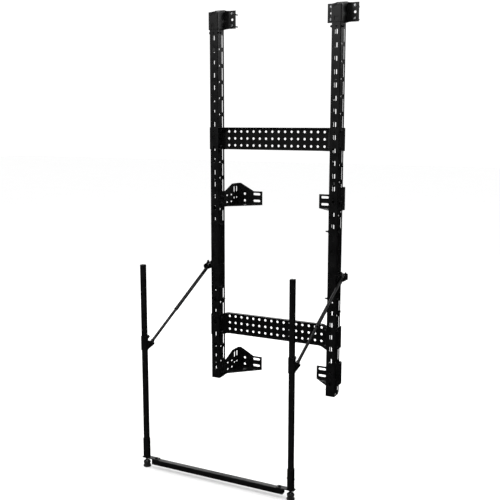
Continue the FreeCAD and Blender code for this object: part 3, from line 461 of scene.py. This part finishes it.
def lathe(bm, place, axis, profile, segments=36):
    """Turns a closed profile of (radius, height) round axis."""
    u, v = basis(axis)
    verts = []
    for k in range(segments):
        out = spoke(u, v, k, segments)
        verts.append([bm.verts.new(place + out * r + axis * h) for r, h in profile])
    for k in range(segments):
        a, b = verts[k], verts[(k + 1) % segments]
        for j in range(len(profile)):
            n = (j + 1) % len(profile)
            bm.faces.new((a[j], a[n], b[n], b[j]))


def helix(bm, start, axis, length, radius, pitch):
    """A thread's ridge round a shank, fading out at both ends."""
    u, v = basis(axis)
    turns = length / pitch - 2 * THREAD_LEAD
    steps = int(turns * THREAD_SEGMENTS)
    rings = []
    for k in range(steps + 1):
        out = spoke(u, v, k, THREAD_SEGMENTS)
        along = pitch * (THREAD_LEAD + k / THREAD_SEGMENTS)
        full = fade(k, steps, THREAD_FADE)
        root = start + axis * along + out * (radius - THREAD_SINK)
        half = pitch * THREAD_FLANK * full
        crest = root + out * (THREAD_HEIGHT * full + THREAD_SINK)
        rings.append([root - axis * half, crest, root + axis * half])
    skin(bm, rings)


def weld(bm, start, end, a, b):
    """A rippled fillet bead in the corner between two plates, whose normals are a and b."""
    start, end, a, b = Vector(start), Vector(end), Vector(a), Vector(b)
    along = (end - start).normalized()
    count = max(WELD_LEAST_STEPS, int((end - start).length / WELD_STEP))
    rings = []
    for k in range(count + 1):
        place = start.lerp(end, k / count)
        ripple = math.sin(k * WELD_RIPPLE_STEP)
        wave = 1.0 + WELD_RIPPLE * ripple + WELD_SWELL * math.sin(k * WELD_SWELL_STEP)
        r = WELD_RADIUS * wave * fade(k, count, WELD_TAPER)
        points = [place - (a + b) * WELD_SINK]
        for j in range(WELD_ARC + 1):
            angle = math.pi / 2 * j / WELD_ARC
            points.append(place + (a * math.cos(angle) + b * math.sin(angle)) * r)
        rings.append([p + along * WELD_SWAY * ripple for p in points])
    skin(bm, rings)


# ---------------------------------------------------------------- bolts
def solids(node):
    """The points of each separate solid of a CAD node."""
    mesh = nodes[node].data
    keys = {}
    parent = []

    def root(k):
        while parent[k] != k:
            parent[k] = parent[parent[k]]
            k = parent[k]
        return k

    place = []
    for vertex in mesh.vertices:
        key = tuple(round(c, MERGE_DIGITS) for c in vertex.co)
        if key not in keys:
            keys[key] = len(parent)
            parent.append(len(parent))
        place.append(keys[key])
    for polygon in mesh.polygons:
        first = root(place[polygon.vertices[0]])
        for other in polygon.vertices[1:]:
            parent[root(place[other])] = first
    groups = {}
    for key, k in keys.items():
        groups.setdefault(root(k), []).append(Vector(key))
    return list(groups.values())


def describe(points):
    """A solid's length along its long axis, its greater width, and each end's middle and radius."""
    low = Vector([min(p[i] for p in points) for i in range(3)])
    high = Vector([max(p[i] for p in points) for i in range(3)])
    size = high - low
    i = max(range(3), key=lambda k: size[k])
    ends = []
    for bound in (low[i], high[i]):
        near = [p for p in points if abs(p[i] - bound) < BOLT_END_DEPTH]
        middle = (low + high) / 2
        middle[i] = bound
        ends.append((middle, max((p - middle).length for p in near)))
    return size[i], max(size[k] for k in range(3) if k != i), ends


def head_ring(radius):
    return [(radius - 2 * HEAD_RING, -HEAD_RING), (radius - HEAD_RING, HEAD_RING * 0.8),
            (radius + HEAD_RING, HEAD_RING * 0.8), (radius + 2 * HEAD_RING, -HEAD_RING)]


def bolt_detail(node, body, thread):
    """A turned ring on each bolt's head, and a thread on its free end."""
    def build(bm):
        for points in solids(node):
            length, width, ends = describe(points)
            if length < BOLT_SLENDER * width:
                continue
            (tip, tip_r), (head, head_r) = sorted(ends, key=lambda end: end[1])
            axis = (head - tip).normalized()
            lathe(bm, head, axis, head_ring(head_r * HEAD_RING_PLACE), HEAD_RING_SEGMENTS)
            if thread:
                radius = round(tip_r, 4)
                pitch = THREAD_PITCH[round(radius * 1000, 1)] / 1000
                helix(bm, tip, axis, thread, radius, pitch)
    slot = "zinc" if node == "wall_bolts" else "bolt_black"
    piece("turned_detail_" + node, build, slot, body)


for bolt_node, (bolt_body, bare_thread) in BOLTS.items():
    bolt_detail(bolt_node, bolt_body, bare_thread)

bounds = {name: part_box(name) for name in nodes}


def centre(name):
    low, high = bounds[name]
    return (low + high) / 2


# ---------------------------------------------------------------- wall arms
def gusset_weld(level, side, sx):
    """Beads where an arm's floor plate meets its side plate and its wall pad."""
    low, high = bounds["wall_arm_%s_%s" % (level, side)]
    side_x = high.x - ARM_PLATE if sx > 0 else low.x + ARM_PLATE
    inner_end = low.x if sx > 0 else high.x
    top = low.z + ARM_PLATE
    pad = high.y - ARM_PLATE

    def build(bm):
        weld(bm, (side_x, GUSSET_FRONT_Y, top), (side_x, GUSSET_BACK_Y, top),
             (-sx, 0, 0), (0, 0, 1))
        weld(bm, (side_x - sx * GUSSET_BEND, pad, top), (inner_end + sx * GUSSET_STOP, pad, top),
             (0, -1, 0), (0, 0, 1))
    piece("gusset_weld_%s_%s" % (level, side), build, "arm_paint", "frame", WELD_SMOOTH)


# ---------------------------------------------------------------- struts, collars, stand, feet
def tube_mouth(side):
    """The rolled mouth of a strut's outer tube, with two beads behind it."""
    head_bolt = centre("strut_pivot_bolt_" + side)
    foot_bolt = centre("collar_pivot_bolt_" + side)
    head = Vector((centre("leg_" + side).x, head_bolt.y, head_bolt.z))
    run = Vector((0, foot_bolt.y - head_bolt.y, foot_bolt.z - head_bolt.z)).normalized()
    mouth = head + run * STRUT_TUBE_END

    def build(bm):
        lathe(bm, mouth, run, MOUTH_LIP, MOUTH_SEGMENTS)
        for back in MOUTH_BEAD_PLACES:
            lathe(bm, mouth - run * back, run, MOUTH_BEAD, MOUTH_SEGMENTS)
    piece("tube_mouth_" + side, build, "strut_tube_paint", side + "_strut_tube")


def collar_weld(side):
    """Beads down both edges of the root of a collar's ear."""
    low, high = bounds["collar_" + side]
    leg = centre("leg_" + side)
    back = leg.y + (high.x - low.x) / 2
    pivot_z = centre("collar_pivot_bolt_" + side).z

    def build(bm):
        for s in (-1, 1):
            x = leg.x + s * COLLAR_WELD_X
            weld(bm, (x, back, pivot_z - COLLAR_WELD_BELOW), (x, back, pivot_z + COLLAR_WELD_ABOVE),
                 (s, 0, 0), (0, 1, 0))
    piece("collar_weld_" + side, build, "collar_paint", side + "_collar", WELD_SMOOTH)


def knob_rings(side):
    """Two raised rings on the back of a clamp knob."""
    knob = centre("clamp_knob_" + side)
    back = Vector((knob.x, bounds["clamp_knob_" + side][1].y, knob.z))

    def build(bm):
        lathe(bm, back, Y_AXIS, KNOB_OUTER_RING)
        lathe(bm, back, Y_AXIS, KNOB_INNER_RING)
    piece("knob_rings_" + side, build, "knob_plastic", side + "_clamp_knob")


def leg_plug(side):
    """A moulded plug in the top of a leg."""
    low, high = bounds["leg_" + side]
    leg = centre("leg_" + side)
    half = (high.x - low.x) / 2

    def build(bm):
        skin(bm, [rounded_square(leg, high.z + height, half - inset, LEG_PLUG_CORNER)
                  for inset, height in LEG_PLUG])
    piece("leg_plug_" + side, build, "cap_plastic", "stand")


def shoe_weld(side):
    """Beads between a base shoe's sleeve and its foot plate."""
    leg = centre("leg_" + side)
    plate_top = bounds["base_shoe_" + side][0].z + SHOE_PLATE

    def build(bm):
        for s in (-1, 1):
            x = leg.x + s * SHOE_SLEEVE_HALF
            weld(bm, (x, leg.y - SHOE_WELD_HALF, plate_top), (x, leg.y + SHOE_WELD_HALF, plate_top),
                 (s, 0, 0), (0, 0, 1))
    piece("shoe_weld_" + side, build, "shoe_paint", "stand", WELD_SMOOTH)


def cap_frame(side, sx):
    """A moulded rim and boss on the cap at the base bar's end."""
    low, high = bounds["bar_end_cap_" + side]
    cap = centre("bar_end_cap_" + side)
    face_x = high.x if sx > 0 else low.x
    turn = Matrix.Rotation(math.radians(90 * sx), 4, "Y")
    place = Matrix.Translation((face_x, cap.y, cap.z)) @ turn

    def rings(outline, corner):
        return [[place @ p for p in rounded_square(Vector(), height, reach, corner)]
                for reach, height in outline]

    def build(bm):
        skin(bm, rings(CAP_RIM, CAP_RIM_CORNER), caps=False)
        skin(bm, rings(CAP_BOSS, CAP_BOSS_CORNER))
    piece("cap_frame_" + side, build, "cap_plastic", "stand")


def pad_ribs(side):
    """Rings round a foot pad's waist and upright ribs round its rim."""
    pad = centre("foot_pad_" + side)
    foot = Vector((pad.x, pad.y, bounds["foot_pad_" + side][0].z))

    def build(bm):
        for rise in PAD_WAIST_HEIGHTS:
            lathe(bm, Vector((foot.x, foot.y, foot.z + rise)), Z_AXIS, PAD_WAIST_RIB,
                  PAD_WAIST_SEGMENTS)
        for k in range(PAD_RIBS):
            out = spoke(X_AXIS, Y_AXIS, k, PAD_RIBS)
            across = Vector((-out.y, out.x, 0)) * PAD_RIB_HALF
            rings = []
            for height, reach in PAD_RIB_CREST:
                crest = foot + out * reach + Z_AXIS * height
                root = foot + out * PAD_RIB_ROOT + Z_AXIS * height
                rings.append([root - across * PAD_RIB_FOOT, crest - across,
                              crest + across, root + across * PAD_RIB_FOOT])
            skin(bm, rings)
    piece("pad_ribs_" + side, build, "foot_rubber", side + "_foot")


def threaded_stud(side):
    """A levelling stud with a real thread and a hexagon, in place of the CAD's plain one."""
    low, high = bounds["foot_stud_" + side]
    stud = centre("foot_stud_" + side)
    hex_low, hex_high = low.z + STUD_HEX_LOW, low.z + STUD_HEX_HIGH
    length = high.z - hex_high - STUD_TIP_LENGTH
    rows = int(length / STUD_PITCH * STUD_ROWS_PER_TURN)

    def thread_row(z):
        reaches = []
        for j in range(STUD_SEGMENTS):
            phase = ((z - hex_high) / STUD_PITCH - j / STUD_SEGMENTS) % 1.0
            reaches.append(STUD_MINOR + (STUD_MAJOR - STUD_MINOR) * (1 - abs(2 * phase - 1)))
        return level_ring(stud, z, reaches)

    def build(bm):
        foot = level_ring(stud, low.z, [STUD_FOOT_R] * STUD_SEGMENTS)
        neck = [p + Z_AXIS * (hex_high - low.z) for p in foot]
        thread = [thread_row(hex_high + length * k / rows) for k in range(rows + 1)]
        tip = level_ring(stud, high.z, [STUD_TIP_R] * STUD_SEGMENTS)
        skin(bm, [foot, neck] + thread + [tip])
        reach = (high.x - low.x) / 2
        hexagon = ((hex_low, reach - STUD_CHAMFER), (hex_low + STUD_CHAMFER_RISE, reach),
                   (hex_high - STUD_CHAMFER_RISE, reach), (hex_high, reach - STUD_CHAMFER))
        skin(bm, [level_ring(stud, height, [r] * 6) for height, r in hexagon])
    made = piece("threaded_stud_" + side, build, "zinc", side + "_foot", STUD_SMOOTH)
    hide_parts("foot_stud_" + side)


for arm_level in ("upper", "lower"):
    for name, sign in SIDES:
        gusset_weld(arm_level, name, sign)
for name, sign in SIDES:
    tube_mouth(name)
    collar_weld(name)
    knob_rings(name)
    leg_plug(name)
    shoe_weld(name)
    cap_frame(name, sign)
    pad_ribs(name)
for name, sign in SIDES:
    threaded_stud(name)


# ---------------------------------------------------------------- studio
def studio_floor(height):
    material = Tree("studio_floor")
    tone = material.noise(1.4, 2.0)
    material.drive(Base_Color=material.mix(tone, FLOOR_DARK, FLOOR_LIGHT))
    material.set(Roughness=0.9, Specular_IOR_Level=0.1)
    mesh = bpy.data.meshes.new("studio_floor")
    corners = [(x * FLOOR_REACH, y * FLOOR_REACH, height)
               for x, y in ((-1, -1), (1, -1), (1, 1), (-1, 1))]
    mesh.from_pydata(corners, [], [(0, 1, 2, 3)])
    mesh.materials.append(material.material)
    floor = bpy.data.objects.new("studio_floor", mesh)
    bpy.context.scene.collection.objects.link(floor)
    floor.visible_glossy = False


def sky():
    """An even white light that the black coat doesn't mirror: its sheen is the soft boxes'."""
    world = bpy.data.worlds.new("studio")
    world.use_nodes = True
    background = world.node_tree.nodes["Background"]
    background.inputs["Color"].default_value = (1, 1, 1, 1)
    background.inputs["Strength"].default_value = SKY_STRENGTH
    bpy.context.scene.world = world
    world.cycles_visibility.glossy = False


def softbox(name, place, target, size, power):
    light = bpy.data.lights.new(name, "AREA")
    light.shape = "RECTANGLE"
    light.size, light.size_y = size
    light.energy = power
    obj = bpy.data.objects.new(name, light)
    obj.location = place
    obj.rotation_euler = (Vector(target) - Vector(place)).to_track_quat("-Z", "Y").to_euler()
    obj.visible_camera = False
    bpy.context.scene.collection.objects.link(obj)


studio_floor(cad_box[0].z)
sky()
bpy.context.scene.view_settings.view_transform = "Standard"
for box in SOFT_BOXES:
    softbox(*box)

camera = bpy.data.objects.new("camera", bpy.data.cameras.new("camera"))
camera.location = CAMERA_PLACE
camera.rotation_euler = [math.radians(a) for a in CAMERA_TURN]
camera.data.lens = CAMERA_LENS
camera.data.sensor_width = SENSOR_WIDTH
camera.data.clip_end = CAMERA_REACH
bpy.context.scene.collection.objects.link(camera)
bpy.context.scene.camera = camera
